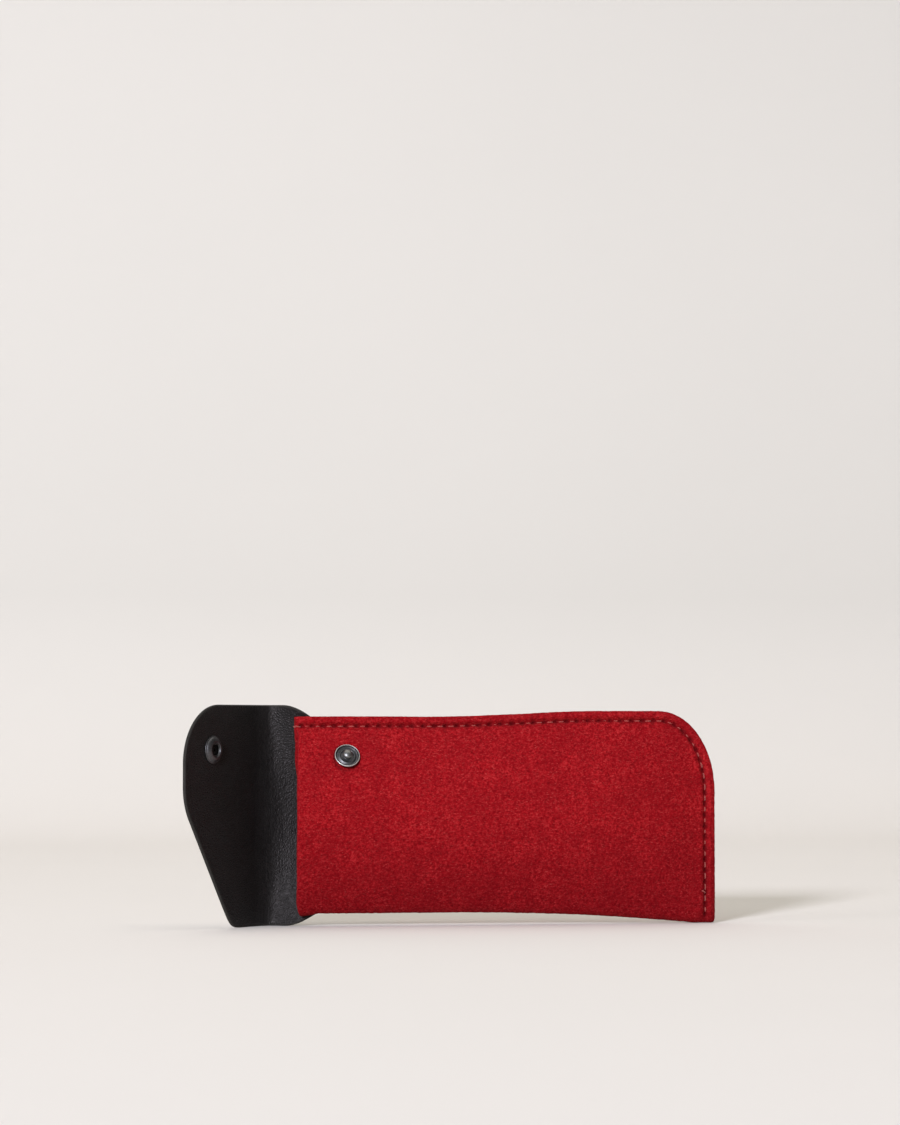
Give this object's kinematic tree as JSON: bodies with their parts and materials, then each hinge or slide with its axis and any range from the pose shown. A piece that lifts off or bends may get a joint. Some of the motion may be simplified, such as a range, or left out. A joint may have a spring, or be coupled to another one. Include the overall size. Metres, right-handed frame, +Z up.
{
  "type": "eyeglasses case",
  "caption": "Soft felt sleeve for spectacles with a leather snap flap; it stands on its long folded edge with the flap open.",
  "frame": {"origin": "middle of the footprint of the case and its open flap, on the surface it stands on", "axes": "+X along the sleeve from the mouth to the sewn end, +Y from the front panel to the back panel, +Z up"},
  "size_m": [0.2274, 0.044, 0.091],
  "materials": {
    "felt": "dense wool felt, matt",
    "leather": "smooth grain, satin",
    "snap_metal": "gunmetal plated, polished",
    "spring_wire": "bare drawn wire",
    "thread": "waxed sewing thread"
  },
  "bodies": {
    "case": {"felt_sleeve": "felt", "flap_patch": "leather", "snap_stud": "snap_metal", "stud_eyelet": "snap_metal", "seam_thread_front": "thread", "seam_thread_back": "thread", "patch_thread_outer": "thread", "patch_thread_inner": "thread"},
    "spine": {"flap_spine": "leather"},
    "tongue": {"flap_tongue": "leather", "snap_socket": "snap_metal", "socket_spring": "spring_wire", "cap_shell": "snap_metal", "cap_post": "snap_metal"}
  },
  "joints": [
    {"name": "mouth_fold", "type": "hinge", "parent": "case", "child": "spine", "pos_m": [-0.06547, 0.02058, 0], "axis": [0, 0, 1], "range_deg": [-90, 59.4], "stiffness_Nm_per_rad": 0.004},
    {"name": "tongue_fold", "type": "hinge", "parent": "spine", "child": "tongue", "pos_m": [-0.08789, 0.00656, 0.044], "axis": [0.0548, 0.0609, 0.9966], "range_deg": [-48, 72.7], "stiffness_Nm_per_rad": 0.004}
  ]
}
